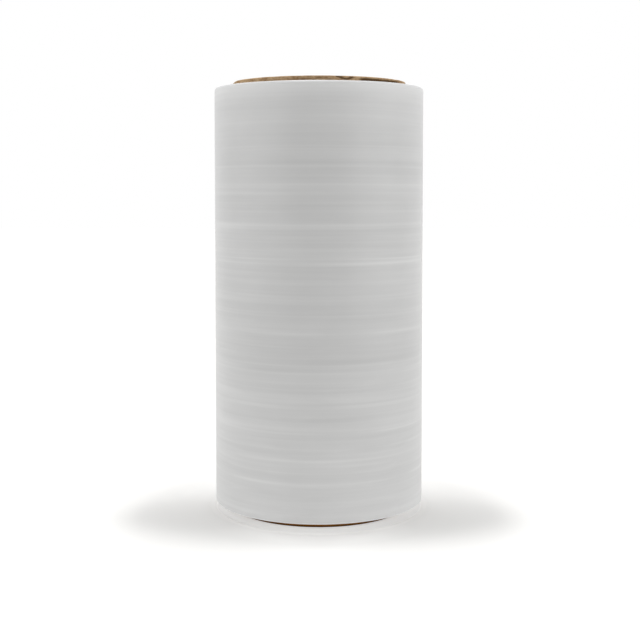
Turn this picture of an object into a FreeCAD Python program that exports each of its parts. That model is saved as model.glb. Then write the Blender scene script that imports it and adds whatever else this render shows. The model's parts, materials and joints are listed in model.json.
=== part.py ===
"""Hand roll of clear stretch wrap: a spiral-wound paperboard core tube and the film wound on it.

Millimetres, +Z up along the roll's axis. The origin is the centre of the core's lower rim, which the
roll stands on. The core is a little longer than the film is wide, so it stands out at both ends.
"""

import FreeCAD
import Part
import Sketcher

import os

V = FreeCAD.Vector

# Alias, value and meaning of each driving dimension, in millimetres or degrees.
SIZES = [
    ("core_bore", 76.2, "inside diameter of the core, the 3 inch size that dispensers take"),
    ("core_wall", 4.0, "thickness of the core's glued paperboard plies"),
    ("core_rim_round", 0.4, "rounding of the core's four cut rims"),
    ("film_build", 8.8, "radial thickness of all the film's turns together"),
    ("film_width", 200.0, "width of the film web, end face to end face"),
    ("film_edge_round", 1.5, "rounding of the outer turns at each end face"),
    ("overhang_base", 3.7, "how far the core stands out below the film"),
    ("overhang_top", 2.6, "how far the core stands out above the film"),
    ("peel_depth", 0.5, "thickness of the outer ply that has come away under the upper rim"),
    ("peel_lip", 0.9, "height of the strip of outer ply left along the upper rim"),
    ("peel_span", 54.0, "angle round the core over which the ply has come away"),
    ("peel_bearing", 51.0, "angle from +X back towards -Y at the middle of the peeled patch"),
]
OPEN_SIDE = 1.0  # how far the peel's cutting section reaches out past the core's wall
SAME_RADIUS = 1e-6  # circles whose radii differ by less than this are taken as one size
# Corners that each section starts from. Its constraints then move all four to the spreadsheet's sizes.
STARTING_CORNERS = [V(40, 10, 0), V(50, 10, 0), V(50, 90, 0), V(40, 90, 0)]


def make_sheet(doc):
    """The spreadsheet that every sketch and feature takes its sizes from."""
    sheet = doc.addObject("Spreadsheet::Sheet", "Sizes")
    for row, (alias, value, meaning) in enumerate(SIZES, start=1):
        sheet.set(f"A{row}", alias)
        sheet.set(f"B{row}", str(value))
        sheet.set(f"C{row}", meaning)
        sheet.setAlias(f"B{row}", alias)
    doc.recompute()
    return sheet


def axial_plane(body):
    """The body's own XZ plane, which holds the roll's axis."""
    return next(f for f in body.Origin.OriginFeatures if f.Role == "XZ_Plane")


def ring_section(body, name, inner, outer, low, high):
    """A rectangle beside the axis, from inner to outer radius and from low to high.

    Each of the four is an expression on the spreadsheet, and becomes one named constraint.
    """
    sketch = body.newObject("Sketcher::SketchObject", name)
    sketch.AttachmentSupport = [(axial_plane(body), "")]
    sketch.MapMode = "FlatFace"
    corners = STARTING_CORNERS
    for start, end in zip(corners, corners[1:] + corners[:1]):
        sketch.addGeometry(Part.LineSegment(start, end))
    for line in range(4):
        sketch.addConstraint(Sketcher.Constraint("Coincident", line, 2, (line + 1) % 4, 1))
    for line, way in enumerate(("Horizontal", "Vertical", "Horizontal", "Vertical")):
        sketch.addConstraint(Sketcher.Constraint(way, line))
    sides = [
        ("inner", "DistanceX", 3, corners[0].x, inner),
        ("outer", "DistanceX", 1, corners[1].x, outer),
        ("low", "DistanceY", 0, corners[0].y, low),
        ("high", "DistanceY", 2, corners[2].y, high),
    ]
    for side, kind, line, value, rule in sides:
        index = sketch.addConstraint(Sketcher.Constraint(kind, -1, 1, line, 1, value))
        sketch.renameConstraint(index, side)
        sketch.setExpression(f"Constraints.{side}", rule)
    return sketch


def revolve(body, sketch, name):
    """Turns the section once round the roll's axis."""
    solid = body.newObject("PartDesign::Revolution", name)
    solid.Profile = sketch
    solid.ReferenceAxis = (sketch, ["V_Axis"])
    solid.Angle = 360.0
    body.Document.recompute()
    return solid


def end_edges(shape, radii):
    """Names of the full circles of these radii, which are the edges of the two end faces."""
    found = []
    for number, edge in enumerate(shape.Edges, start=1):
        if isinstance(edge.Curve, Part.Circle) and edge.isClosed():
            if any(abs(edge.Curve.Radius - radius) < SAME_RADIUS for radius in radii):
                found.append(f"Edge{number}")
    return found


def round_ends(body, base, name, radii, size):
    """Rounds the end edges of these radii by the spreadsheet's size."""
    fillet = body.newObject("PartDesign::Fillet", name)
    fillet.Base = (base, end_edges(base.Shape, radii))
    fillet.setExpression("Radius", size)
    body.Document.recompute()
    return fillet


def core_tube(doc, sheet):
    """The paperboard tube: bore, wall and rounded rims, less the strip of outer ply that has peeled."""
    body = doc.addObject("PartDesign::Body", "CoreTube")
    body.Label = "core_tube"
    section = ring_section(
        body,
        "WallSection",
        inner="Sizes.core_bore / 2",
        outer="Sizes.core_bore / 2 + Sizes.core_wall",
        low="0",
        high="Sizes.overhang_base + Sizes.film_width + Sizes.overhang_top",
    )
    tube = revolve(body, section, "Wall")
    bore_radius = sheet.core_bore / 2
    rims = round_ends(
        body,
        tube,
        "Rims",
        [bore_radius, bore_radius + sheet.core_wall],
        "Sizes.core_rim_round",
    )
    peel_section = ring_section(
        body,
        "PeelSection",
        inner="Sizes.core_bore / 2 + Sizes.core_wall - Sizes.peel_depth",
        outer=f"Sizes.core_bore / 2 + Sizes.core_wall + {OPEN_SIDE}",
        low="Sizes.overhang_base + Sizes.film_width",
        high="Sizes.overhang_base + Sizes.film_width + Sizes.overhang_top - Sizes.peel_lip",
    )
    # The section turns about the roll's axis, from +X back towards -Y.
    towards_front = FreeCAD.Rotation(V(0, -1, 0), 1.0)
    peel_section.AttachmentOffset = FreeCAD.Placement(V(0, 0, 0), towards_front)
    peel_section.setExpression("AttachmentOffset.Rotation.Angle", "Sizes.peel_bearing")
    peel = body.newObject("PartDesign::Groove", "Peel")
    peel.Profile = peel_section
    peel.ReferenceAxis = (peel_section, ["V_Axis"])
    peel.Midplane = True
    peel.setExpression("Angle", "Sizes.peel_span")
    doc.recompute()
    if not peel.Shape.Volume < rims.Shape.Volume:
        raise RuntimeError("the peel cuts nothing from the core")
    return body


def film_roll(doc, sheet):
    """Every turn of the film as one ring, tight on the core, with its outer edges rounded."""
    body = doc.addObject("PartDesign::Body", "FilmRoll")
    body.Label = "film_roll"
    section = ring_section(
        body,
        "TurnsSection",
        inner="Sizes.core_bore / 2 + Sizes.core_wall",
        outer="Sizes.core_bore / 2 + Sizes.core_wall + Sizes.film_build",
        low="Sizes.overhang_base",
        high="Sizes.overhang_base + Sizes.film_width",
    )
    turns = revolve(body, section, "Turns")
    outer_radius = sheet.core_bore / 2 + sheet.core_wall + sheet.film_build
    round_ends(body, turns, "Shoulders", [outer_radius], "Sizes.film_edge_round")
    return body


def check(doc, bodies):
    """Stops on a feature that failed to compute, or a piece that isn't one valid solid."""
    for feature in doc.Objects:
        if {"Invalid", "Error"} & set(feature.State):
            raise RuntimeError(f"{feature.Name} failed: {feature.State}")
    for body in bodies:
        shape = body.Shape
        if shape.isNull() or not shape.isValid() or len(shape.Solids) != 1:
            raise RuntimeError(f"{body.Label} is not one valid solid")


def main():
    doc = FreeCAD.newDocument("StretchWrapRoll")
    sheet = make_sheet(doc)
    bodies = [core_tube(doc, sheet), film_roll(doc, sheet)]
    doc.recompute()
    check(doc, bodies)
    os.makedirs("parts", exist_ok=True)
    for body in bodies:
        body.Shape.exportStep(f"parts/{body.Label}.step")
        height = body.Shape.BoundBox.ZLength
        print(f"{body.Label}: {height:.2f} mm tall, {body.Shape.Volume:.0f} mm3")


main()
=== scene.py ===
"""Looks of a hand roll of clear stretch wrap, which stands on one end of its paperboard core.

Lengths are in metres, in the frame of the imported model: +Z runs up the roll's axis, and the core's lower
rim is at z = 0. The film and the core are closed meshes made of rings round that axis: a row of the grid
is one ring, and the rows follow each other round the piece's section.
"""

import json
import math

import bpy
import numpy as np
from bpy.props import FloatProperty, FloatVectorProperty, IntProperty, PointerProperty
from bpy.types import Operator, Panel, PropertyGroup
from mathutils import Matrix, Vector


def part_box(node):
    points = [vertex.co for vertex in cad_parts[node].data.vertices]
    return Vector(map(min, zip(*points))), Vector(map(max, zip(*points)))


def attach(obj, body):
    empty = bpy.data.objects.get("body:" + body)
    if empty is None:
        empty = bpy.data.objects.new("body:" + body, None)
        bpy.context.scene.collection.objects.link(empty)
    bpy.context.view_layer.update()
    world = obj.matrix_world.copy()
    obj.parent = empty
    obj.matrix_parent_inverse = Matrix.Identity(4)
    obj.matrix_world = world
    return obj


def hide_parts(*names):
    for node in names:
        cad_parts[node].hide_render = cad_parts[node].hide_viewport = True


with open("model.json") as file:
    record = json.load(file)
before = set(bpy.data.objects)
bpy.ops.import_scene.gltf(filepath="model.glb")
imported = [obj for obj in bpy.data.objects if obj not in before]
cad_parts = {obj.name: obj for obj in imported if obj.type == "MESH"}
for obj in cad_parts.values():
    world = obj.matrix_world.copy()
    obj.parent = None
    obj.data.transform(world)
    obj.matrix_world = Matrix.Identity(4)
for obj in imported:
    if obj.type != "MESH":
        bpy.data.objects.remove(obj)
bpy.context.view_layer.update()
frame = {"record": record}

bl_info = {
    "name": "Stretch Wrap Roll",
    "version": (1, 0, 0),
    "blender": (4, 5, 0),
    "location": "3D View > Sidebar > Wrap Roll",
    "description": "Models the film and the core of a stretch wrap roll, and the studio it stands in",
    "category": "Object",
}

MM = 0.001

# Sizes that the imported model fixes.
FILM_LOW, FILM_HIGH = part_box("film_roll")
CORE_LOW, CORE_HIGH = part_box("core_tube")
FILM_RADIUS = FILM_HIGH.x
CORE_RADIUS = CORE_HIGH.x
BORE = next(m for m in frame["record"]["mounts"] if m["name"] == "core_bore")
BORE_RADIUS = BORE["dims"]["r_mm"] * MM


# ----------------------------------------
# Meshes
# ----------------------------------------

def ring_angles(columns):
    """Angles from +X towards +Y of the columns of a grid of rings."""
    return np.arange(columns) * (2 * math.pi / columns)


def ring_mesh(name, radius, height):
    """A closed mesh from the radius and the height of each point of a grid of rings.

    The section runs outwards along the base, up the outside, in along the top and down the inside.
    """
    rows, columns = radius.shape
    angle = ring_angles(columns)
    points = np.stack((radius * np.cos(angle), radius * np.sin(angle), height), axis=-1)
    here = np.arange(rows * columns).reshape(rows, columns)
    beside = np.roll(here, -1, axis=1)
    faces = np.stack((here, beside, np.roll(beside, -1, axis=0), np.roll(here, -1, axis=0)), axis=-1)
    mesh = bpy.data.meshes.new(name)
    mesh.from_pydata(points.reshape(-1, 3).tolist(), [], faces.reshape(-1, 4).tolist())
    mesh.polygons.foreach_set("use_smooth", [True] * len(mesh.polygons))
    mesh.update()
    return mesh


def store(mesh, name, values):
    """Keeps one value for each point of the mesh, which a material reads by the name."""
    attribute = mesh.attributes.new(name, "FLOAT", "POINT")
    attribute.data.foreach_set("value", values.ravel())


def quarter_round(centre_radius, centre_height, size, start, steps):
    """Points along a quarter circle of the section, from the start angle on, without its two ends."""
    turn = start + np.linspace(0, math.pi / 2, steps + 2)[1:-1]
    return centre_radius + size * np.cos(turn), centre_height + size * np.sin(turn)


def joined(stretches):
    """Radii and heights of a whole section, from those of the stretches that follow each other."""
    return tuple(np.concatenate(rows) for rows in zip(*stretches))


def bump_across(distance, width):
    """A rounded ridge of height 1 over a distance from its middle, with the given half width."""
    return np.exp(-((distance / width) ** 2))


def smooth_step(value, start, end):
    """0 before start, 1 after end, and a smooth rise between them."""
    share = np.clip((value - start) / (end - start), 0, 1)
    return share * share * (3 - 2 * share)


def log_spread(rng, least, most):
    """A random value between least and most, spread evenly over its logarithm."""
    return math.exp(rng.uniform(math.log(least), math.log(most)))


def waves(rng, angle, height, span, round_most, up_range, count):
    """Random smooth waves over the unrolled surface, about between -1 and 1.

    A wave has up to round_most crests round the roll and a number within up_range along the span.
    """
    total = np.zeros(np.broadcast_shapes(angle.shape, height.shape))
    for _ in range(count):
        crests = rng.integers(0, round_most + 1)
        along = rng.uniform(*up_range) * rng.choice((-1, 1))
        phase = rng.uniform(0, 2 * math.pi)
        total += np.cos(crests * angle + 2 * math.pi * along * height / span + phase)
    return total * math.sqrt(2 / count) / 2


def angle_between(angle, middle):
    """Signed angle from the middle, between -pi and pi."""
    return (angle - middle + math.pi) % (2 * math.pi) - math.pi


# ----------------------------------------
# Film
# ----------------------------------------

# Columns round the roll, and rows up its side, across each end face and round each shoulder.
FILM_COLUMNS = 128
SIDE_ROWS = 650
FACE_ROWS = 20
SHOULDER_ROWS = 6

# The ridges that stand out most: height in millimetres, and how strong each one is.
CLEAR_RIDGES = (
    (57.0, 0.7), (65.6, 0.9), (76.0, 1.3), (91.0, 0.7), (98.6, 0.8), (107.6, 0.9), (121.1, 0.8),
    (131.8, 0.7), (138.0, 0.8), (145.5, 0.8), (149.5, 0.7), (157.5, 0.9), (165.8, 1.1), (174.6, 1.1),
)
# The grooves that stand out most, in the same way.
CLEAR_GROOVES = ((40.0, 0.8), (51.0, 0.9), (58.5, 1.0), (84.0, 0.8), (148.4, 0.9), (165.0, 0.9))
CLEAR_STRENGTH = 1.6  # how a ridge or groove of strength 1 compares with a usual level line
CLEAR_WIDTH = 0.45 * MM  # half width of these ridges and grooves
CLEAR_WANDER = 0.25 * MM  # how far they rise and fall round the roll
CLEAR_HELD = 0.6  # the share of each that never breaks

LINE_WIDTHS = (0.3, 1.6)  # half widths of the level lines, in millimetres
LINE_WANDER = 0.3  # most that a line rises and falls round the roll, in millimetres
NARROW_LINE = 0.7 * MM  # half width under which a level line is mostly a ridge
NARROW_SUNK = 0.3  # the most that a narrow line is a groove
WIDTH_POWER = 0.6  # how much stronger a wide line is than a narrow one
BREAKS_AT_TOP = 2  # the most times that a line at the top comes and goes round the roll
MORE_AT_BASE = 6  # how many more times that may be at the base
HELD_AT_TOP = 0.3  # the share of a line at the top that never breaks
QUIET_TOP = (168 * MM, 180 * MM)  # heights between which most of the lines die out
QUIET_SHARE = 0.75
CALM_TOP = (150 * MM, 185 * MM)  # heights between which the relief of all lines falls to a half
CALM_SHARE = 0.5

FOLD_LENGTHS = (2.5, 16)  # half lengths of the wrinkles, in millimetres
FOLD_WIDTHS = (0.35, 1.3)  # half widths of the wrinkles, in millimetres
FOLD_SLANT = math.radians(7)
FOLD_CROWDING = (0.9, 2.6)  # the two powers of the beta spread that puts most of them near the base
FOLD_FADE = 0.7  # the share of their height that they lose from the base to the top

SWELL = 0.02 * MM  # height of the broad swells of the winding
TURN_EDGES = 0.10 * MM  # how unevenly the turns' edges stand on the end faces
TAIL_STEP = 0.05 * MM  # height of the step at the loose end, about two turns of film

# Waves: the most crests round the roll, the crests along the span, and the number of waves.
SWELL_WAVES = (3, (0.5, 6), 24)
TURN_EDGE_WAVES = (2, (2, 12), 30)

# Per point: the milk of the film's ridges and folds, plus painted light towards both ends.
MILK_AND_LIGHT = "film_milk_and_painted_light"
# How milky a ridge and a wrinkle make the film, and how much painted light lightens the ends of the roll.
MILK_OF_LINES = 1.3
MILK_OF_FOLDS = 0.8
PAINTED_LIGHT_OF_ENDS = 5.0
# How much a groove shows in the film's colour, beside a ridge of the same height.
DARK_LINE_SHARE = 0.6
# The painted light at the ends: its strength, and the distances from the end between which it fades out.
BASE_PAINTED_LIGHT = ((1.1, 10 * MM, 95 * MM), (1.6, 0, 18 * MM), (2.3, 0.2 * MM, 0.8 * MM))
TOP_PAINTED_LIGHT = ((0.6, 8 * MM, 36 * MM), (1.9, 0, 11 * MM))


class FilmSettings(PropertyGroup):
    """Sizes and finish of the wound film."""

    colour: FloatVectorProperty(
        name="Colour",
        description="Colour of many turns of clear film over each other",
        subtype="COLOR",
        default=(0.648, 0.65, 0.65),
        min=0,
        max=1,
    )
    roughness: FloatProperty(
        name="Roughness",
        description="How much the outer turn blurs what it reflects",
        default=0.28,
        min=0,
        max=1,
    )
    top_shoulder: FloatProperty(
        name="Top shoulder",
        description="Rounding of the outer turns at the top of the roll",
        default=1.8 * MM,
        min=0.2 * MM,
        max=4 * MM,
        unit="LENGTH",
    )
    base_shoulder: FloatProperty(
        name="Base shoulder",
        description="Rounding of the outer turns at the base of the roll",
        default=0.3 * MM,
        min=0.1 * MM,
        max=4 * MM,
        unit="LENGTH",
    )
    taper: FloatProperty(
        name="Taper",
        description="How much less the radius is at the top than at the base",
        default=0.6 * MM,
        min=0,
        max=2 * MM,
        unit="LENGTH",
    )
    line_height: FloatProperty(
        name="Line height",
        description="Height of the fine level lines that an uneven web leaves round the roll",
        default=0.003 * MM,
        min=0,
        max=0.2 * MM,
        unit="LENGTH",
    )
    line_count: IntProperty(
        name="Lines",
        description="Number of fine level lines",
        default=260,
        min=0,
        max=1000,
    )
    wrinkle_height: FloatProperty(
        name="Wrinkle height",
        description="Height of the short slanting wrinkles near the base",
        default=0.014 * MM,
        min=0,
        max=0.3 * MM,
        unit="LENGTH",
    )
    wrinkle_count: IntProperty(
        name="Wrinkles",
        description="Number of short slanting wrinkles",
        default=520,
        min=0,
        max=1000,
    )
    tail_bearing: FloatProperty(
        name="Tail",
        description="Where the loose end of the outer turn lies, from +X towards +Y",
        default=math.radians(70),
        subtype="ANGLE",
    )
    seed: IntProperty(
        name="Seed",
        description="Another number gives other lines and wrinkles",
        default=11,
        min=0,
    )


def film_section(base_shoulder, top_shoulder):
    """Radius, height, outward share and upward share of each row of the film's section."""
    low, high = FILM_LOW.z, FILM_HIGH.z
    base_turned = FILM_RADIUS - base_shoulder
    top_turned = FILM_RADIUS - top_shoulder
    side = np.linspace(low + base_shoulder, high - top_shoulder, SIDE_ROWS)
    radius, height = joined(
        (
            (np.linspace(CORE_RADIUS, base_turned, FACE_ROWS), np.full(FACE_ROWS, low)),
            quarter_round(base_turned, side[0], base_shoulder, -math.pi / 2, SHOULDER_ROWS),
            (np.full(SIDE_ROWS, FILM_RADIUS), side),
            quarter_round(top_turned, side[-1], top_shoulder, 0, SHOULDER_ROWS),
            (np.linspace(top_turned, CORE_RADIUS, FACE_ROWS), np.full(FACE_ROWS, high)),
        )
    )
    upper = height > (low + high) / 2
    shoulder = np.where(upper, top_shoulder, base_shoulder)
    outward = np.clip((radius - FILM_RADIUS) / shoulder + 1, 0, 1)
    upward = np.sqrt(1 - outward**2) * np.where(upper, 1, -1)
    return radius, height, outward, upward


def broken(rng, angle, least, most):
    """A share between 0 and 1 that comes and goes round the roll, a few times in one turn."""
    times = rng.integers(least, most + 1)
    swell = np.cos(times * angle - rng.uniform(0, 2 * math.pi))
    swell = swell + 0.7 * np.cos((times + 2) * angle - rng.uniform(0, 2 * math.pi))
    return np.clip(0.5 + 0.4 * swell, 0, 1)


def level_lines(rng, angle, height, settings):
    """Ridges and grooves where the web is a little thick or thin, each nearly level round the roll.

    The narrow ones are mostly ridges. All are more broken up towards the base. The result is in shares
    of the line height.
    """
    relief = np.zeros(np.broadcast_shapes(angle.shape, height.shape))
    span = FILM_HIGH.z - FILM_LOW.z
    for _ in range(settings.line_count):
        middle = rng.uniform(FILM_LOW.z, FILM_HIGH.z)
        width = log_spread(rng, *LINE_WIDTHS) * MM
        size = rng.normal()
        if width < NARROW_LINE:
            size = rng.exponential() - NARROW_SUNK
        size *= (width / NARROW_LINE) ** WIDTH_POWER
        wander = rng.uniform(0, LINE_WANDER) * MM * np.cos(angle - rng.uniform(0, 2 * math.pi))
        share_up = (middle - FILM_LOW.z) / span
        most = BREAKS_AT_TOP + int(MORE_AT_BASE * (1 - share_up))
        parts = broken(rng, angle, 1, most)
        held = HELD_AT_TOP * share_up
        relief += size * (held + (1 - held) * parts) * bump_across(height - middle - wander, width)
    relief *= 1 - QUIET_SHARE * smooth_step(height, *QUIET_TOP)
    for lines, sign in ((CLEAR_RIDGES, 1), (CLEAR_GROOVES, -1)):
        for middle, strength in lines:
            wander = CLEAR_WANDER * np.cos(angle - rng.uniform(0, 2 * math.pi))
            parts = CLEAR_HELD + (1 - CLEAR_HELD) * broken(rng, angle, 2, 6)
            size = sign * strength * CLEAR_STRENGTH * parts
            relief += size * bump_across(height - middle * MM - wander, CLEAR_WIDTH)
    return relief


def wrinkles(rng, angle, height, settings):
    """Short slanting folds, which crowd towards the base, in shares of the wrinkle height."""
    relief = np.zeros(np.broadcast_shapes(angle.shape, height.shape))
    span = FILM_HIGH.z - FILM_LOW.z
    for _ in range(settings.wrinkle_count):
        middle = FILM_LOW.z + span * rng.beta(*FOLD_CROWDING)
        turn = rng.uniform(0, 2 * math.pi)
        slant = rng.normal() * FOLD_SLANT
        half_length = log_spread(rng, *FOLD_LENGTHS) * MM
        width = rng.uniform(*FOLD_WIDTHS) * MM
        size = rng.normal() * (1 - FOLD_FADE * (middle - FILM_LOW.z) / span)
        round_way = angle_between(angle, turn) * FILM_RADIUS
        up_way = height - middle
        along = round_way * math.cos(slant) + up_way * math.sin(slant)
        across = up_way * math.cos(slant) - round_way * math.sin(slant)
        relief += size * bump_across(across, width) * bump_across(along, half_length)
    return relief


def ends_painted_light(height):
    """Painted light that makes the film lighter towards each end of the roll."""
    total = np.zeros_like(height)
    for off, layers in ((height - FILM_LOW.z, BASE_PAINTED_LIGHT), (FILM_HIGH.z - height, TOP_PAINTED_LIGHT)):
        for strength, start, end in layers:
            total += strength * (1 - smooth_step(off, start, end))
    return total


def tail_step(angle, settings):
    """The radius falls a little in one turn, and steps back up at the film's loose end."""
    return -TAIL_STEP * ((angle - settings.tail_bearing) % (2 * math.pi)) / (2 * math.pi)


def film_mesh(settings):
    """The wound film as one closed ring, with the lines and wrinkles of its outer turn.

    Each point also holds how milky the film is there, as ridges and folds hold more air under them, and
    the painted light that makes it lighter towards both ends.
    """
    rng = np.random.default_rng(settings.seed)
    section = film_section(settings.base_shoulder, settings.top_shoulder)
    radius, height, outward, upward = (row[:, None] for row in section)
    angle = ring_angles(FILM_COLUMNS)[None, :]
    span = FILM_HIGH.z - FILM_LOW.z
    lines = level_lines(rng, angle, height, settings)
    folds = wrinkles(rng, angle, height, settings)
    calm = 1 - CALM_SHARE * smooth_step(height, *CALM_TOP)
    relief = settings.line_height * calm * lines + settings.wrinkle_height * folds
    relief = relief + SWELL * waves(rng, angle, height, span, *SWELL_WAVES)
    relief = relief + tail_step(angle, settings)
    relief = relief - settings.taper * (height - FILM_LOW.z) / span
    relief = relief - relief.max()
    build = FILM_RADIUS - CORE_RADIUS
    turn_edges = TURN_EDGES * (waves(rng, angle, radius, build, *TURN_EDGE_WAVES) - 1)
    sunk = np.where(radius > CORE_RADIUS, turn_edges, 0)
    mesh = ring_mesh("wrap_film", radius + outward * relief, height + upward * sunk * (1 - outward))
    shown = np.where(lines < 0, DARK_LINE_SHARE * lines, lines)
    # Milk of the ridges and folds, plus painted light that lightens both ends.
    milk_and_light = MILK_OF_LINES * shown + MILK_OF_FOLDS * folds + PAINTED_LIGHT_OF_ENDS * ends_painted_light(height)
    store(mesh, MILK_AND_LIGHT, outward * milk_and_light)
    return mesh


# ----------------------------------------
# Core
# ----------------------------------------

# Columns round the core, and rows across each cut rim and up each stretch of wall that shows, up the
# wall inside the film, down the bore, round a rim's edge and round the worn one.
CORE_COLUMNS = 360
CUT_ROWS = 14
HIDDEN_ROWS = 6
BORE_ROWS = 90
ROUND_ROWS = 3
WORN_ROWS = 6

CORE_SEED = 5
# Per point: the board's darker tone at blotches, seams and bared ply, with painted shade in the torn patch
# and lower down above the film.
TONE_AND_SHADE = "board_tone_and_painted_shade"
RAGGED = 0.06 * MM  # how rough the board's surface is
# The waves of that roughness and of the scuffs, as for the film.
RAGGED_WAVES = (40, (0, 30), 60)
SCUFF_WAVES = (90, (20, 160), 60)

SEAM_WIDTH = 0.5 * MM
BORE_SEAM_BEARING = math.radians(115)
BORE_SEAM_DEPTH = 0.25 * MM
BORE_SEAM_SHADE = 0.8

# A V-shaped tear by the upper rim: bearing in degrees, and millimetres below the rim, of its points.
TEAR_POINTS = ((-78.8, 0.3), (-73.0, 1.5), (-68.6, 0.6))
TEAR_WIDTHS = (0.46, 0.42)  # half width of each of its two legs, in millimetres

PEEL_SIDE = math.radians(5)  # angle over which the patch ends at each side
LIP_RAGS = ((0.15, 17), (0.1, 41))  # share of the lip's height, and number of rags in a full turn
LIP_EDGE = 0.55 * MM  # height over which the lip ends
PEEL_FOOT = (0.6 * MM, 0.2 * MM)  # depths below the film's upper face between which the patch starts

# Scuffs: blotches of darker board, and painted shade that darkens the board lower down, towards the film's
# upper face.
# The bearing and spread of the worst of them, and the places between which they set in, as depths below
# the upper rim and below the film's upper face.
SCUFF_BEARING = math.radians(-95)
SCUFF_SPREAD = math.radians(16)
PAINTED_SHADE_BELOW_RIM = (1.5 * MM, 0.5 * MM)
SCUFF_FOOT = (0.6 * MM, 0)
SCUFF_BASE = (0.12, 0.3)  # how much darker the board is all round, by scuffs and painted shade, and how much more at the front
DARKENING_AT_RIM = 0.3  # the share of that which is left at the rim
BLOTCH_BASE = (0.4, 0.6)  # the same two shares for the blotches
BLOTCH_SHARE = 0.25
MOST_DARKENED = 0.7

# Where the upper rim is worn down: bearing, the degrees off it between which the wear dies out, depth.
WORN_PLACES = ((180, 12, 24, 0.72 * MM), (0, 8, 15, 0.7 * MM))
WEAR_REACH = (2.2 * MM, 0.2 * MM)  # depths below the rim between which the wear grows to its full size


class CoreSettings(PropertyGroup):
    """Sizes and finish of the spiral-wound board core."""

    colour: FloatVectorProperty(
        name="Board",
        description="Colour of the board's outer ply",
        subtype="COLOR",
        default=(0.50, 0.35, 0.205),
        min=0,
        max=1,
    )
    blotch_colour: FloatVectorProperty(
        name="Blotches",
        description="Colour of the darker blotches in the board",
        subtype="COLOR",
        default=(0.25, 0.128, 0.054),
        min=0,
        max=1,
    )
    # Partly the bared ply's own colour and partly painted shade of the shallow recess under the torn lip.
    bared_and_shaded_colour: FloatVectorProperty(
        name="Bared board",
        description="Colour of the glued ply under the outer one, where that has come away",
        subtype="COLOR",
        default=(0.105, 0.058, 0.024),
        min=0,
        max=1,
    )
    # Painted shade: the dark foot stands for the shade where the roll meets the floor.
    foot_shade_colour: FloatVectorProperty(
        name="Foot",
        description="Colour of the lower rim, darkened by what the roll has stood on",
        subtype="COLOR",
        default=(0.24, 0.10, 0.02),
        min=0,
        max=1,
    )
    rim_round: FloatProperty(
        name="Rim rounding",
        description="Rounding of the cut rims",
        default=0.15 * MM,
        min=0.05 * MM,
        max=1 * MM,
        unit="LENGTH",
    )
    top_round: FloatProperty(
        name="Worn rim",
        description="Rounding of the upper rim's outer edge, worn by handling",
        default=0.5 * MM,
        min=0.05 * MM,
        max=1.8 * MM,
        unit="LENGTH",
    )
    # Height of the painted shade on the foot.
    foot_shade_height: FloatProperty(
        name="Foot height",
        description="How far up from the lower rim the board is darkened",
        default=0.8 * MM,
        unit="LENGTH",
    )
    seam_rise: FloatProperty(
        name="Seam rise",
        description="How far a seam of the spiral plies climbs in one turn",
        default=108 * MM,
        unit="LENGTH",
    )
    peel_bearing: FloatProperty(
        name="Peel",
        description="Middle of the patch where the outer ply has come away, from +X towards +Y",
        default=math.radians(-46),
        subtype="ANGLE",
    )
    peel_span: FloatProperty(
        name="Peel span",
        description="Angle round the core over which the outer ply has come away",
        default=math.radians(41),
        subtype="ANGLE",
    )
    peel_depth: FloatProperty(
        name="Peel depth",
        description="Thickness of the outer ply that has come away",
        default=0.5 * MM,
        unit="LENGTH",
    )
    peel_lip: FloatProperty(
        name="Peel lip",
        description="Height of the strip of outer ply left along the upper rim",
        default=0.55 * MM,
        unit="LENGTH",
    )


def core_section(rim_round, top_round):
    """Radius and height of each row of the core's section."""
    low, high = CORE_LOW.z, CORE_HIGH.z
    outer, inner = CORE_RADIUS - rim_round, BORE_RADIUS + rim_round
    worn = CORE_RADIUS - top_round
    below = np.linspace(low + rim_round, FILM_LOW.z, CUT_ROWS)
    hidden = np.linspace(FILM_LOW.z, FILM_HIGH.z, HIDDEN_ROWS + 2)[1:-1]
    above = np.linspace(FILM_HIGH.z, high - top_round, CUT_ROWS)
    side = np.concatenate((below, hidden, above))
    bore = np.linspace(high - rim_round, low + rim_round, BORE_ROWS)
    return joined(
        (
            (np.linspace(inner, outer, CUT_ROWS), np.full(CUT_ROWS, low)),
            quarter_round(outer, low + rim_round, rim_round, -math.pi / 2, ROUND_ROWS),
            (np.full(len(side), CORE_RADIUS), side),
            quarter_round(worn, high - top_round, top_round, 0, WORN_ROWS),
            (np.linspace(worn, inner, CUT_ROWS), np.full(CUT_ROWS, high)),
            quarter_round(inner, high - rim_round, rim_round, math.pi / 2, ROUND_ROWS),
            (np.full(BORE_ROWS, BORE_RADIUS), bore),
            quarter_round(inner, low + rim_round, rim_round, math.pi, ROUND_ROWS),
        )
    )


def seam(angle, height, bearing, rise):
    """1 on the middle of a helical seam that meets the upper rim at the bearing, 0 away from it."""
    climb = CORE_HIGH.z + rise * angle_between(angle, bearing) / (2 * math.pi) - height
    off = (climb + rise / 2) % rise - rise / 2
    return bump_across(off, SEAM_WIDTH)


def torn_line(angle, height, start, end, width):
    """1 on a straight tear between two (bearing, height) points of the outside, 0 away from it."""
    round_way = angle_between(angle, start[0]) * CORE_RADIUS
    up_way = height - start[1]
    run = Vector(((end[0] - start[0]) * CORE_RADIUS, end[1] - start[1]))
    share = np.clip((round_way * run.x + up_way * run.y) / run.length_squared, 0, 1)
    off = np.hypot(round_way - share * run.x, up_way - share * run.y)
    return bump_across(off, width)


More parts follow.
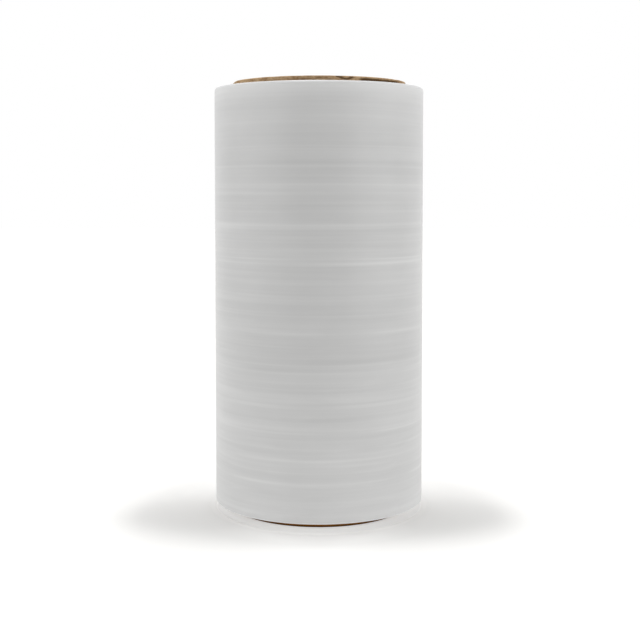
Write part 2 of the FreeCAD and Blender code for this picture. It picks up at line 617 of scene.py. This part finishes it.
def peeled(angle, height, settings):
    """1 inside the patch where the outer ply has come away, 0 outside it, with a ragged upper lip."""
    off = angle_between(angle, settings.peel_bearing)
    half = settings.peel_span / 2
    inside = 1 - smooth_step(np.abs(off), half - PEEL_SIDE, half)
    rags = 1
    for share, times in LIP_RAGS:
        rags = rags + share * np.cos(times * off)
    lip = CORE_HIGH.z - settings.peel_lip * rags
    below_lip = 1 - smooth_step(height, lip - LIP_EDGE, lip)
    above_film = smooth_step(height, FILM_HIGH.z - PEEL_FOOT[0], FILM_HIGH.z - PEEL_FOOT[1])
    return inside * below_lip * above_film


def blotched_and_shaded(rng, angle, height):
    """How much darker the outer ply is above the film: blotches, most of them at the front, and painted
    shade lower down, towards the film's upper face.
    """
    front = bump_across(angle_between(angle, SCUFF_BEARING), SCUFF_SPREAD)
    blotches = waves(rng, angle, height, CORE_HIGH.z, *SCUFF_WAVES)
    # Painted shade: darker lower down, towards the film's upper face.
    shaded_low_down = 1 - smooth_step(height, CORE_HIGH.z - PAINTED_SHADE_BELOW_RIM[0], CORE_HIGH.z - PAINTED_SHADE_BELOW_RIM[1])
    above_film = smooth_step(height, FILM_HIGH.z - SCUFF_FOOT[0], FILM_HIGH.z - SCUFF_FOOT[1])
    even = (SCUFF_BASE[0] + SCUFF_BASE[1] * front) * (DARKENING_AT_RIM + (1 - DARKENING_AT_RIM) * shaded_low_down)
    blotched = BLOTCH_SHARE * blotches * (BLOTCH_BASE[0] + BLOTCH_BASE[1] * front)
    return np.clip(even + blotched, 0, MOST_DARKENED) * above_film


def worn_sides(angle, height, top):
    """How far the upper rim is worn down near its left and right sides."""
    near_top = smooth_step(height, top - WEAR_REACH[0], top - WEAR_REACH[1])
    worn = np.zeros_like(angle * height)
    for bearing, start, end, depth in WORN_PLACES:
        off = np.abs(angle_between(angle, math.radians(bearing)))
        worn += depth * near_top * (1 - smooth_step(off, math.radians(start), math.radians(end)))
    return worn


def core_mesh(settings):
    """The core as one closed tube, with its spiral seams, the torn outer ply and how dark each is, with
    painted shade in the torn patch and lower down above the film.
    """
    section = core_section(settings.rim_round, settings.top_round)
    radius, height = (row[:, None] for row in section)
    angle = ring_angles(CORE_COLUMNS)[None, :]
    rng = np.random.default_rng(CORE_SEED)
    outside = smooth_step(radius, CORE_RADIUS - settings.top_round, CORE_RADIUS)
    inside = 1 - smooth_step(radius, BORE_RADIUS, BORE_RADIUS + settings.rim_round)
    top = CORE_HIGH.z
    points = [(math.radians(bearing), top - depth * MM) for bearing, depth in TEAR_POINTS]
    outer_cut = peeled(angle, height, settings)
    for start, end, width in zip(points, points[1:], TEAR_WIDTHS):
        outer_cut = np.maximum(outer_cut, torn_line(angle, height, start, end, width * MM))
    blotches_and_shade = blotched_and_shaded(rng, angle, height)
    bore_seam = seam(angle, height, BORE_SEAM_BEARING, settings.seam_rise)
    ragged = RAGGED * waves(rng, angle, height, top, *RAGGED_WAVES)
    new_radius = (
        radius
        - outside * outer_cut * settings.peel_depth
        + inside * bore_seam * BORE_SEAM_DEPTH
        - outside * np.abs(ragged)
    )
    on_cut = (radius > BORE_RADIUS + settings.rim_round) & (radius < CORE_RADIUS - settings.rim_round)
    cut_side = np.sign(height - top / 2) * on_cut
    new_height = height - cut_side * np.abs(ragged) - worn_sides(angle, height, top)
    mesh = ring_mesh("core_board", new_radius, new_height)
    # The torn patch and tear get painted shade of their recess as well as the bared ply's tone.
    outer_shade = outside * np.maximum(outer_cut, blotches_and_shade)
    store(mesh, TONE_AND_SHADE, np.maximum(outer_shade, inside * BORE_SEAM_SHADE * bore_seam))
    return mesh


# ----------------------------------------
# Materials
# ----------------------------------------

FILM_IOR = 1.5
FACE_ROUGHNESS = 0.4
BOARD_ROUGHNESS = 0.85
CUT_ROUGHNESS = 0.9
SIDE_SPECULAR = 0.12
CUT_SPECULAR = 0.2
# Heights of the finest relief.
FILM_GRAIN = 0.02 * MM
FACE_GRAIN = 0.05 * MM
BOARD_GRAIN = 0.06 * MM
CUT_GRAIN = 0.1 * MM
# Factors that make a finish's own colour darker and lighter.
FILM_TINTS = (0.80, 1.50)
FACE_TINTS = (0.82, 1.12)
CUT_TINTS = (0.6, 1.15)
BOARD_TINT = 1.12

MILK_TO_LIGHT = (-5, 35, -1.0, 7.0)  # a range of the milk and painted light, and how light its two ends are
LIGHT_RANGE = (-1.5, 5.5)  # from the film's darkest tint to its lightest
DULL_MILK = (1, 7)  # milk and painted light between which the film gets duller
DULL_GAIN = (0.05, 0.18)  # what that adds to its roughness
SHOULDER_EDGE = 0.5 * MM  # depth below the film's upper face at which the painted shade on the top shoulder is darkest
SHOULDER_PAINTED_SHADE = 1.5  # painted shade: how much is taken from the film's lightness there
SHOULDER_DULLER = 0.35
FOOT_BLUR = 0.1 * MM  # how gradually the painted shade on the foot ends
PAINTED_LIGHT_REACH = 0.5 * MM  # how far under the film the painted light on the board shows
PAINTED_LIGHT_ON_FOOT = 2.8  # factor on the foot shade's colour that gives that painted light


def feed(tree, socket, value):
    """Gives an input its value, or links it to an output."""
    if isinstance(value, bpy.types.NodeSocket):
        tree.links.new(value, socket)
    else:
        socket.default_value = value


def node(tree, kind, inputs=None, **options):
    """Adds a node, sets its options and feeds its inputs."""
    made = tree.nodes.new(kind)
    for name, value in options.items():
        setattr(made, name, value)
    for name, value in (inputs or {}).items():
        feed(tree, made.inputs[name], value)
    return made


def new_material(name):
    """An empty node material, and its tree."""
    material = bpy.data.materials.new(name)
    material.use_nodes = True
    material.node_tree.nodes.clear()
    return material, material.node_tree


def finish_material(tree, shader):
    """Sends the shader to the material's surface."""
    node(tree, "ShaderNodeOutputMaterial", {"Surface": shader.outputs[0]})


def finish_surface(tree, colour, roughness, height, distance, others):
    """Sends an opaque surface to the material, with a fine relief as high as the distance.

    The others are the sockets that have one value all over the surface.
    """
    relief = node(tree, "ShaderNodeBump", {"Strength": 1.0, "Distance": distance, "Height": height})
    inputs = {"Base Color": colour, "Roughness": roughness, "Normal": relief.outputs[0], **others}
    finish_material(tree, node(tree, "ShaderNodeBsdfPrincipled", inputs))


def place(tree, scale, shift=(0, 0, 0)):
    """The object's own coordinates, in metres, times a scale for each axis and then shifted."""
    coordinates = node(tree, "ShaderNodeTexCoord")
    return node(
        tree,
        "ShaderNodeMapping",
        {"Vector": coordinates.outputs["Object"], "Location": shift, "Scale": scale},
    ).outputs[0]


def height_up(tree):
    """Height above the floor."""
    return node(tree, "ShaderNodeSeparateXYZ", {0: place(tree, (1, 1, 1))}).outputs["Z"]


def length_of(tree, vector):
    """The length of a vector."""
    return node(tree, "ShaderNodeVectorMath", {0: vector}, operation="LENGTH").outputs["Value"]


def noise(tree, vector, scale=1.0, detail=2.0, roughness=0.5):
    """Noise about 0.5 over the vector."""
    return node(
        tree,
        "ShaderNodeTexNoise",
        {"Vector": vector, "Scale": scale, "Detail": detail, "Roughness": roughness},
    ).outputs["Fac"]


def remap(tree, value, low, high, to_low=0.0, to_high=1.0, smooth=False):
    """The value stretched from one range to another, held within it."""
    return node(
        tree,
        "ShaderNodeMapRange",
        {"Value": value, "From Min": low, "From Max": high, "To Min": to_low, "To Max": to_high},
        interpolation_type="SMOOTHSTEP" if smooth else "LINEAR",
    ).outputs["Result"]


def arithmetic(tree, operation, first, second):
    """One sum on two values or sockets."""
    return node(tree, "ShaderNodeMath", {0: first, 1: second}, operation=operation).outputs[0]


def blend_colours(tree, share, first, second):
    """The first colour where the share is 0, and the second where it is 1."""
    made = node(tree, "ShaderNodeMix", data_type="RGBA")
    for socket, value in (("Factor_Float", share), ("A_Color", first), ("B_Color", second)):
        feed(tree, next(s for s in made.inputs if s.identifier == socket), value)
    return next(s for s in made.outputs if s.identifier == "Result_Color")


def tinted(colour, level):
    """The colour made lighter or darker by a factor, with an alpha of 1."""
    return (*(channel * level for channel in colour), 1.0)


def between_tints(tree, share, colour, tints):
    """The colour by the first of two factors where the share is 0, and by the second where it is 1."""
    return blend_colours(tree, share, *(tinted(colour, level) for level in tints))


def turns_place(tree, scale_out, scale_round):
    """Coordinates that change quickly with the distance from the axis and slowly round it."""
    flat = place(tree, (1, 1, 0))
    out = arithmetic(tree, "MULTIPLY", length_of(tree, flat), scale_out)
    bearing = node(tree, "ShaderNodeVectorMath", {0: flat}, operation="NORMALIZE").outputs["Vector"]
    slow = node(
        tree, "ShaderNodeVectorMath", {0: bearing, "Scale": scale_round}, operation="SCALE"
    ).outputs["Vector"]
    parts = node(tree, "ShaderNodeSeparateXYZ", {0: slow})
    return node(
        tree,
        "ShaderNodeCombineXYZ",
        {"X": parts.outputs["X"], "Y": parts.outputs["Y"], "Z": out},
    ).outputs[0]


def film_side_material(settings):
    """Clear film over itself: milky grey, with level lines, faint clouds and a soft gloss, painted light
    towards its ends and painted shade on its top shoulder.
    """
    material, tree = new_material("film_side")
    fine = noise(tree, place(tree, (14, 14, 900)), detail=4, roughness=0.6)
    broad = noise(tree, place(tree, (9, 9, 170)), detail=2)
    cloud = noise(tree, place(tree, (30, 30, 45)), detail=3)
    streaks = arithmetic(tree, "ADD", fine, broad)
    clouded = arithmetic(tree, "ADD", remap(tree, streaks, 0.7, 1.3, -0.3, 0.3), cloud)
    milk_and_light = node(tree, "ShaderNodeAttribute", attribute_name=MILK_AND_LIGHT).outputs["Fac"]
    # The attribute adds painted light towards both ends to the milk.
    light = arithmetic(tree, "ADD", clouded, remap(tree, milk_and_light, *MILK_TO_LIGHT))
    height = height_up(tree)
    # Painted shade darkens the top shoulder.
    turned = remap(tree, height, FILM_HIGH.z - settings.top_shoulder, FILM_HIGH.z - SHOULDER_EDGE)
    light = arithmetic(tree, "SUBTRACT", light, arithmetic(tree, "MULTIPLY", turned, SHOULDER_PAINTED_SHADE))
    colour = between_tints(tree, remap(tree, light, *LIGHT_RANGE), settings.colour, FILM_TINTS)
    dull = remap(tree, milk_and_light, *DULL_MILK, *(settings.roughness + gain for gain in DULL_GAIN))
    dull = arithmetic(tree, "ADD", dull, arithmetic(tree, "MULTIPLY", turned, SHOULDER_DULLER))
    finish_surface(tree, colour, dull, fine, FILM_GRAIN, {"IOR": FILM_IOR})
    return material


def film_face_material(settings):
    """The cut edges of the film's turns: fine rings, each a little lighter or darker."""
    material, tree = new_material("film_face")
    rings = noise(tree, turns_place(tree, 2600, 1.2), detail=3, roughness=0.65)
    bands = noise(tree, turns_place(tree, 500, 0.8), detail=2)
    shade = arithmetic(tree, "ADD", remap(tree, rings, 0.3, 0.7, -0.3, 0.3), bands)
    colour = between_tints(tree, remap(tree, shade, 0.2, 0.8), settings.colour, FACE_TINTS)
    finish_surface(tree, colour, FACE_ROUGHNESS, rings, FACE_GRAIN, {"IOR": FILM_IOR})
    return material


def board_side_material(settings):
    """Brown board: mottled, with short fibres, darker where the outer ply is gone, partly by painted
    shade, with painted shade lower down above the film and on the foot, and painted light just below the
    film.
    """
    material, tree = new_material("board_side")
    fibres = noise(tree, place(tree, (900, 900, 1600)), detail=3, roughness=0.7)
    mottle = noise(tree, place(tree, (150, 150, 260)), detail=3)
    mixed = arithmetic(tree, "ADD", remap(tree, fibres, 0.3, 0.7, -0.25, 0.25), mottle)
    board = blend_colours(
        tree,
        remap(tree, mixed, 0.15, 0.65),
        tinted(settings.blotch_colour, 1),
        tinted(settings.colour, BOARD_TINT),
    )
    shade = node(tree, "ShaderNodeAttribute", attribute_name=TONE_AND_SHADE).outputs["Fac"]
    # The blotches, the seam and the bared ply, with painted shade in the torn patch and lower down above
    # the film.
    worn = blend_colours(tree, shade, board, tinted(settings.bared_and_shaded_colour, 1))
    height = height_up(tree)
    # Painted shade on the foot, where the roll meets the floor.
    foot_low, foot_high = (settings.foot_shade_height + way * FOOT_BLUR for way in (-1, 1))
    foot_shade = remap(tree, height, foot_low, foot_high, 1, 0)
    # Painted light on the board below the film's lower face, a lighter line above the foot's painted
    # shade.
    painted_light_share = remap(tree, height, FILM_LOW.z - PAINTED_LIGHT_REACH, FILM_LOW.z, 1, 0)
    with_painted_light = blend_colours(tree, painted_light_share, worn, tinted(settings.foot_shade_colour, PAINTED_LIGHT_ON_FOOT))
    colour = blend_colours(tree, foot_shade, with_painted_light, tinted(settings.foot_shade_colour, 1))
    gloss = {"Specular IOR Level": SIDE_SPECULAR}
    finish_surface(tree, colour, BOARD_ROUGHNESS, fibres, BOARD_GRAIN, gloss)
    return material


def board_cut_material(settings):
    """The board's cut rims: its plies as rings, with a fuzzy grain."""
    material, tree = new_material("board_cut")
    plies = noise(tree, turns_place(tree, 2400, 1.5), detail=1)
    grain = noise(tree, place(tree, (1500, 1500, 1500)), detail=3, roughness=0.7)
    mixed = arithmetic(tree, "ADD", remap(tree, plies, 0.3, 0.7, -0.35, 0.35), grain)
    colour = between_tints(tree, remap(tree, mixed, 0.2, 0.8), settings.colour, CUT_TINTS)
    gloss = {"Specular IOR Level": CUT_SPECULAR}
    finish_surface(tree, colour, CUT_ROUGHNESS, mixed, CUT_GRAIN, gloss)
    return material


# ----------------------------------------
# Studio
# ----------------------------------------

# The side lamps: name, degrees from the front towards +X, height, width, length and power in watts.
SIDE_LAMPS = (
    ("left", -64, 0.29, 1.00, 0.52, 1.02),
    ("right", 60, 0.29, 0.875, 0.52, 1.33),
    ("upper left", -88, 0.72, 0.50, 0.34, 1.89),
    ("upper right", 80, 0.72, 0.25, 0.34, 1.37),
)
SIDE_DISTANCE = 0.9
OVERHEAD_PLACE = Vector((0.325, 0.165, 1.9))  # the right one, and the left one is its mirror image
OVERHEAD_SIZE = (0.16, 0.40)
CAMERA_CLIP = (0.01, 20)

FLOOR_HALF_SIDE = 4.0
PAPER_COLOUR = (0.74, 0.735, 0.723, 1)
FADE_START = 0.25  # distance from the axis at which the floor starts to fade into white
FADE_END = 2.0
FAR_LIFT = 0.57
# The floor keeps the roll's shadow in an ellipse a little before the roll, and painted light clears it
# outside. These are its middle along Y, and its half sizes along X and Y.
SHADOW_MIDDLE = -30.1 * MM
SHADOW_REACH = 97 * MM
SHADOW_DEPTH = 46 * MM
SHADOW_FADE = (0.423, 1.209)  # shares of that ellipse between which the painted light that clears the shadow sets in

LIFT_COLOUR = (1, 0.995, 0.985, 1)
# Under the film the floor has the board's brown on it already, so the painted light there is a little
# cooler.
UNDER_COLOUR = (0.978, 0.995, 0.995, 1)
UNDER_COLOUR_FADE = (45 * MM, 52 * MM)

# The painted light close to the roll falls from the foot outwards: where it ends, and the power of its
# fall.
FOOT_EDGE = 42 * MM
UNDER_FALL = (54.1 * MM, 2.91)
FRONT_FALL = (55.1 * MM, 2.17)
# Each of the rest is a start, an end, the value up to the start and the value from the end on. The first
# four go over the distance from the axis, the next two over Y, and the last over Y's share of it.
EDGE_DROP = (50.28 * MM, 51.2 * MM, 1, 0.27)
FRONT_GLOW = (50 * MM, 69.2 * MM, 0.211, 0)
CONTACT = (42.2 * MM, 43 * MM, 0.6, 1)
BEHIND_FADE = (58 * MM, 76 * MM, 1, 0)
EDGE_SHIFT = (-28 * MM, -9 * MM, 0, 0.27 * MM)
BEHIND_SIDE = (0, 20 * MM, 0, 0.045)
FRONT_SIDE = (-0.684, -1, 0, 0.873)


class StudioSettings(PropertyGroup):
    """The camera, the lamps and the white surroundings."""

    camera_distance: FloatProperty(
        name="Camera distance",
        description="Level distance of the camera from the roll's axis",
        default=565.5 * MM,
        unit="LENGTH",
    )
    camera_height: FloatProperty(
        name="Camera height",
        description="Height of the camera above the floor",
        default=155.4 * MM,
        unit="LENGTH",
    )
    camera_offset: FloatProperty(
        name="Camera offset",
        description="How far the camera stands to the right of the roll's axis",
        default=0.53 * MM,
        unit="LENGTH",
    )
    camera_tilt: FloatProperty(
        name="Camera tilt",
        description="How far the camera looks down from level",
        default=math.radians(4.86),
        subtype="ANGLE",
    )
    lens: FloatProperty(
        name="Lens",
        description="Focal length of the camera, in millimetres",
        default=65.12,
        unit="CAMERA",
    )
    camera_shift: FloatProperty(
        name="Camera shift",
        description="Upward shift of the picture, as a share of its width",
        default=-0.05,
    )
    surround_level: FloatProperty(
        name="Surround",
        description="Brightness of the white surroundings, as they light the roll",
        default=0.36,
        min=0,
    )
    side_level: FloatProperty(
        name="Side lamps",
        description="Strength of the side lamps, as a share of their usual power",
        default=1.0,
        min=0,
    )
    overhead_power: FloatProperty(
        name="Overhead lamps",
        description="Power of each of the two overhead lamps, in watts",
        default=13.75,
        min=0,
        unit="POWER",
    )
    # Part of this is painted light that clears the roll's shadow outside the ellipse.
    painted_floor_lift: FloatProperty(
        name="Floor lift",
        description="Brightness that the floor shows round the shadow besides its own lit colour",
        default=0.174,
        min=0,
    )
    # Painted light that lightens the roll's contact shadow under the film's lower edge.
    under_painted_light: FloatProperty(
        name="Lift under the film",
        description="Brightness added under the film's lower edge, where light comes through the film",
        default=0.5,
        min=0,
    )
    # Painted light that lightens the contact shadow just in front of the film's lower edge.
    front_painted_light: FloatProperty(
        name="Front lift",
        description="Brightness added on the floor just in front of the film's lower edge",
        default=0.386,
        min=0,
    )


def seen_white(tree):
    """1 for the camera's rays and for those of a reflection or of clear material, 0 for lighting."""
    path = node(tree, "ShaderNodeLightPath")
    through = arithmetic(
        tree, "MAXIMUM", path.outputs["Is Glossy Ray"], path.outputs["Is Transmission Ray"]
    )
    return arithmetic(tree, "MAXIMUM", path.outputs["Is Camera Ray"], through)


def white_world(settings):
    """White where the camera or a reflection sees it, and an even grey for what it lights."""
    world = bpy.data.worlds.new("Surroundings")
    world.use_nodes = True
    tree = world.node_tree
    tree.nodes.clear()
    level = remap(tree, seen_white(tree), 0, 1, settings.surround_level, 1.0)
    light = node(tree, "ShaderNodeBackground", {"Color": (1, 1, 1, 1), "Strength": level})
    node(tree, "ShaderNodeOutputWorld", {"Surface": light.outputs[0]})
    bpy.context.scene.world = world


def falling_painted_light(tree, away, fall, strength):
    """Painted light that has its full strength at the foot of the roll and falls to nothing outwards."""
    end, power = fall
    outwards = arithmetic(tree, "POWER", remap(tree, away, FOOT_EDGE, end), power)
    return arithmetic(tree, "MULTIPLY", arithmetic(tree, "SUBTRACT", 1, outwards), strength)


def close_painted_light(tree, away, forward, settings):
    """Painted light under the film and just outside its edge, which lightens the roll's contact shadow
    there.
    """
    under = falling_painted_light(tree, away, UNDER_FALL, settings.under_painted_light)
    edge = arithmetic(tree, "ADD", away, remap(tree, forward, *EDGE_SHIFT))
    under = arithmetic(tree, "MULTIPLY", under, remap(tree, edge, *EDGE_DROP))
    front = falling_painted_light(tree, away, FRONT_FALL, settings.front_painted_light)
    front = arithmetic(tree, "ADD", front, remap(tree, away, *FRONT_GLOW))
    to_front = remap(tree, arithmetic(tree, "DIVIDE", forward, away), *FRONT_SIDE)
    gain = arithmetic(tree, "MULTIPLY", to_front, arithmetic(tree, "SUBTRACT", front, under))
    close = arithmetic(tree, "ADD", under, gain)
    return arithmetic(tree, "MULTIPLY", close, remap(tree, away, *CONTACT))


def floor_material(settings):
    """White paper that takes the roll's shadow, with painted light that lightens that shadow near the roll
    and outside an ellipse, and that fades into plain white away from it.
    """
    material, tree = new_material("floor_paper")
    paper = node(tree, "ShaderNodeBsdfDiffuse", {"Color": PAPER_COLOUR})
    here = place(tree, (1, 1, 1))
    away = length_of(tree, here)
    forward = node(tree, "ShaderNodeSeparateXYZ", {0: here}).outputs["Y"]
    shadow_place = place(
        tree,
        (1 / SHADOW_REACH, 1 / SHADOW_DEPTH, 0),
        (0, -SHADOW_MIDDLE / SHADOW_DEPTH, 0),
    )
    off_shadow = length_of(tree, shadow_place)
    # Painted light round the shadow, the fade into plain white, painted light close to the roll, and
    # painted light that lightens the shadow behind it.
    parts = (
        remap(tree, off_shadow, *SHADOW_FADE, 0, settings.painted_floor_lift, smooth=True),
        remap(tree, away, FADE_START, FADE_END, 0, FAR_LIFT),
        close_painted_light(tree, away, forward, settings),
        arithmetic(
            tree, "MULTIPLY", remap(tree, forward, *BEHIND_SIDE), remap(tree, away, *BEHIND_FADE)
        ),
    )
    lift = parts[0]
    for part in parts[1:]:
        lift = arithmetic(tree, "ADD", lift, part)
    colour = blend_colours(tree, remap(tree, away, *UNDER_COLOUR_FADE), UNDER_COLOUR, LIFT_COLOUR)
    strength = arithmetic(tree, "MULTIPLY", seen_white(tree), lift)
    light = node(tree, "ShaderNodeEmission", {"Color": colour, "Strength": strength})
    floor = node(tree, "ShaderNodeAddShader", {0: paper.outputs[0], 1: light.outputs[0]})
    finish_material(tree, floor)
    return material


def add_floor(settings):
    """The floor that the roll stands on."""
    side = FLOOR_HALF_SIDE
    mesh = bpy.data.meshes.new("floor")
    corners = [(-side, -side, 0), (side, -side, 0), (side, side, 0), (-side, side, 0)]
    mesh.from_pydata(corners, [], [range(len(corners))])
    mesh.materials.append(floor_material(settings))
    floor = bpy.data.objects.new("floor", mesh)
    bpy.context.scene.collection.objects.link(floor)


def add_lamp(name, place_at, aim, size, power):
    """A soft rectangular lamp that points at the aim, and that the camera doesn't see."""
    data = bpy.data.lights.new(name, "AREA")
    data.shape = "RECTANGLE"
    data.size, data.size_y = size
    data.energy = power
    lamp = bpy.data.objects.new(name, data)
    lamp.location = place_at
    lamp.rotation_mode = "QUATERNION"
    lamp.rotation_quaternion = (aim - place_at).to_track_quat("-Z", "Y")
    lamp.visible_camera = False
    bpy.context.scene.collection.objects.link(lamp)


def add_lamps(settings):
    """Two long lamps overhead, whose shadows spread to both sides, and two soft ones on each side."""
    for name, bearing, high, width, length, power in SIDE_LAMPS:
        turn = math.radians(bearing)
        place_at = Vector((SIDE_DISTANCE * math.sin(turn), -SIDE_DISTANCE * math.cos(turn), high))
        aim = Vector((0, 0, high))
        add_lamp(f"Side lamp {name}", place_at, aim, (width, length), power * settings.side_level)
    for name, way in (("left", -1), ("right", 1)):
        place_at = Vector((way * OVERHEAD_PLACE.x, OVERHEAD_PLACE.y, OVERHEAD_PLACE.z))
        aim = Vector((place_at.x, place_at.y, 0))
        add_lamp(f"Overhead lamp {name}", place_at, aim, OVERHEAD_SIZE, settings.overhead_power)


def add_camera(settings):
    """The camera in front of the roll, at three quarters of its height and looking slightly down."""
    data = bpy.data.cameras.new("Camera")
    data.lens = settings.lens
    data.shift_y = settings.camera_shift
    data.clip_start, data.clip_end = CAMERA_CLIP
    camera = bpy.data.objects.new("Camera", data)
    camera.location = (settings.camera_offset, -settings.camera_distance, settings.camera_height)
    camera.rotation_euler = (math.pi / 2 - settings.camera_tilt, 0, 0)
    bpy.context.scene.collection.objects.link(camera)
    bpy.context.scene.camera = camera


# ----------------------------------------
# Operators, panel and registration
# ----------------------------------------

ACROSS = 0.8  # upward share of a face's normal above which the face is one of a cut end


def add_piece(name, mesh, materials, node_name):
    """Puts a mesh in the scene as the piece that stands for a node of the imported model.

    The first material is for the sides, and the second for the faces across the axis, at the cut ends.
    """
    for material in materials:
        mesh.materials.append(material)
    for face in mesh.polygons:
        face.material_index = 1 if abs(face.normal.z) > ACROSS else 0
    piece = bpy.data.objects.new(name, mesh)
    bpy.context.scene.collection.objects.link(piece)
    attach(piece, "root")
    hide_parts(node_name)


class WRAPROLL_OT_film(Operator):
    """Add the wound film, with the lines and wrinkles of its outer turn"""

    bl_idname = "wraproll.film"
    bl_label = "Add Film"

    def execute(self, context):
        settings = context.scene.wraproll_film
        materials = (film_side_material(settings), film_face_material(settings))
        add_piece("wrap_film", film_mesh(settings), materials, "film_roll")
        return {"FINISHED"}


class WRAPROLL_OT_core(Operator):
    """Add the board core, with its spiral seams and the patch of torn outer ply"""

    bl_idname = "wraproll.core"
    bl_label = "Add Core"

    def execute(self, context):
        settings = context.scene.wraproll_core
        materials = (board_side_material(settings), board_cut_material(settings))
        add_piece("core_board", core_mesh(settings), materials, "core_tube")
        return {"FINISHED"}


class WRAPROLL_OT_studio(Operator):
    """Add the camera, the lamps, and the white floor and surroundings"""

    bl_idname = "wraproll.studio"
    bl_label = "Add Studio"

    def execute(self, context):
        settings = context.scene.wraproll_studio
        context.scene.view_settings.view_transform = "Standard"
        white_world(settings)
        add_floor(settings)
        add_lamps(settings)
        add_camera(settings)
        return {"FINISHED"}


class WRAPROLL_PT_panel(Panel):
    """Buttons and settings for the roll and its studio"""

    bl_idname = "WRAPROLL_PT_panel"
    bl_label = "Wrap Roll"
    bl_space_type = "VIEW_3D"
    bl_region_type = "UI"
    bl_category = "Wrap Roll"

    def draw(self, context):
        scene = context.scene
        for operator, settings in (
            (WRAPROLL_OT_film, scene.wraproll_film),
            (WRAPROLL_OT_core, scene.wraproll_core),
            (WRAPROLL_OT_studio, scene.wraproll_studio),
        ):
            box = self.layout.box()
            box.operator(operator.bl_idname)
            for name in settings.__annotations__:
                box.prop(settings, name)


CLASSES = (
    FilmSettings,
    CoreSettings,
    StudioSettings,
    WRAPROLL_OT_film,
    WRAPROLL_OT_core,
    WRAPROLL_OT_studio,
    WRAPROLL_PT_panel,
)


def register():
    for made in CLASSES:
        bpy.utils.register_class(made)
    bpy.types.Scene.wraproll_film = PointerProperty(type=FilmSettings)
    bpy.types.Scene.wraproll_core = PointerProperty(type=CoreSettings)
    bpy.types.Scene.wraproll_studio = PointerProperty(type=StudioSettings)


def unregister():
    del bpy.types.Scene.wraproll_studio
    del bpy.types.Scene.wraproll_core
    del bpy.types.Scene.wraproll_film
    for made in reversed(CLASSES):
        bpy.utils.unregister_class(made)


def main():
    """Builds the roll and its studio."""
    register()
    bpy.ops.wraproll.film()
    bpy.ops.wraproll.core()
    bpy.ops.wraproll.studio()


if __name__ == "__main__":
    main()
